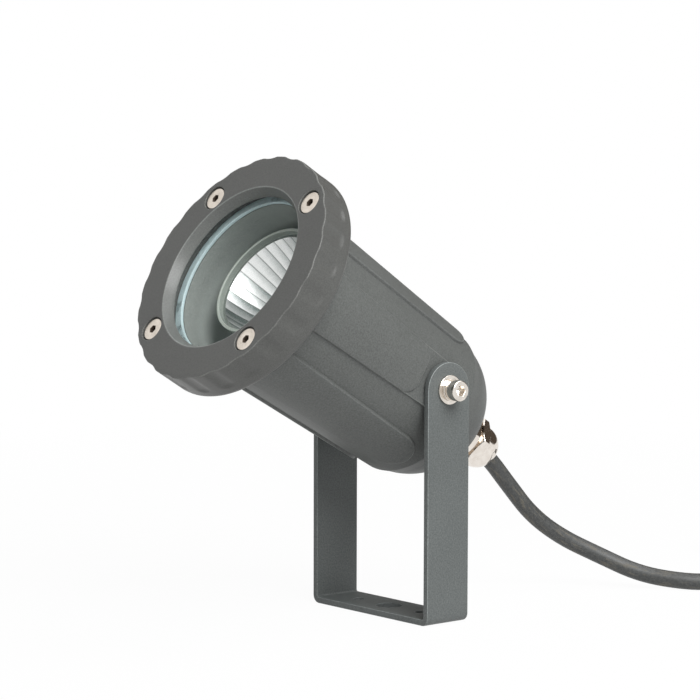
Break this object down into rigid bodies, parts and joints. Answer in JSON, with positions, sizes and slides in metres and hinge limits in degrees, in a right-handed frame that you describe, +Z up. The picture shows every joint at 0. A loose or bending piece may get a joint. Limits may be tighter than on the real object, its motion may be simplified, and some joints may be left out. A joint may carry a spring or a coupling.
{
  "type": "floodlight",
  "caption": "Outdoor spotlight: round die-cast head with a scalloped bezel and reflector lamp, tilting in a U-bracket, with a cable gland and rubber lead.",
  "frame": {"origin": "centre of the bracket's underside, on the axis of its wide base hole", "axes": "-Z down out of the base hole, +Z up, X along the pivot bolts, the head points to -Y and up"},
  "size_m": [0.118, 0.4435, 0.1908],
  "materials": {
    "powder_coat": "matte",
    "bracket_coat": "matte",
    "stainless": "satin",
    "nickel_plate": "polished",
    "front_glass": "gloss",
    "lamp_glass": "gloss",
    "reflector_mirror": "polished",
    "pale_silicone": "satin",
    "ceramic": "matte",
    "strap_aluminium": "satin",
    "brass": "satin",
    "terminal_plastic": "satin",
    "black_rubber": "matte",
    "fibre_washer": "matte",
    "brown_insulation": "satin",
    "blue_insulation": "satin",
    "earth_insulation": "satin",
    "tinned_copper": "satin",
    "tie_plastic": "satin"
  },
  "bodies": {
    "bracket": {"u_bracket": "bracket_coat", "cable_floor_run": "black_rubber", "cable_coil": "black_rubber", "cable_tail": "black_rubber", "coil_tie": "tie_plastic", "bare_cores": "brown_insulation", "core_ferrules": "tinned_copper"},
    "head": {"pivot_bolts": "stainless", "plain_washers": "stainless", "spring_washers": "stainless", "friction_washers": "fibre_washer", "bezel_ring": "powder_coat", "bezel_screws": "stainless", "front_glass": "front_glass", "glass_gasket": "pale_silicone", "housing": "powder_coat", "lamp_reflector": "reflector_mirror", "lamp_cover_glass": "lamp_glass", "lamp_burner": "lamp_glass", "lamp_base": "ceramic", "lamp_pins": "tinned_copper", "lamp_holder": "ceramic", "holder_screws": "stainless", "holder_strap": "strap_aluminium", "strap_screws": "stainless", "terminal_block": "terminal_plastic", "terminal_inserts": "brass", "terminal_screws": "stainless", "terminal_fixings": "stainless", "earth_tag": "tinned_copper", "earth_screw": "stainless", "live_core": "brown_insulation", "neutral_core": "blue_insulation", "earth_core": "earth_insulation", "lamp_leads": "brown_insulation", "earth_lead": "earth_insulation", "gland_body": "nickel_plate", "gland_washer": "black_rubber", "gland_seal": "black_rubber", "gland_locknut": "nickel_plate", "gland_cap_nut": "nickel_plate", "cable_entry": "black_rubber", "cable_lead": "black_rubber"}
  },
  "joints": [
    {"name": "head_tilt", "type": "hinge", "parent": "bracket", "child": "head", "pos_m": [0, 0, 0.0964], "axis": [-1, 0, 0], "range_deg": [-51.5, 48.5], "deforming": ["cable_lead"]}
  ]
}
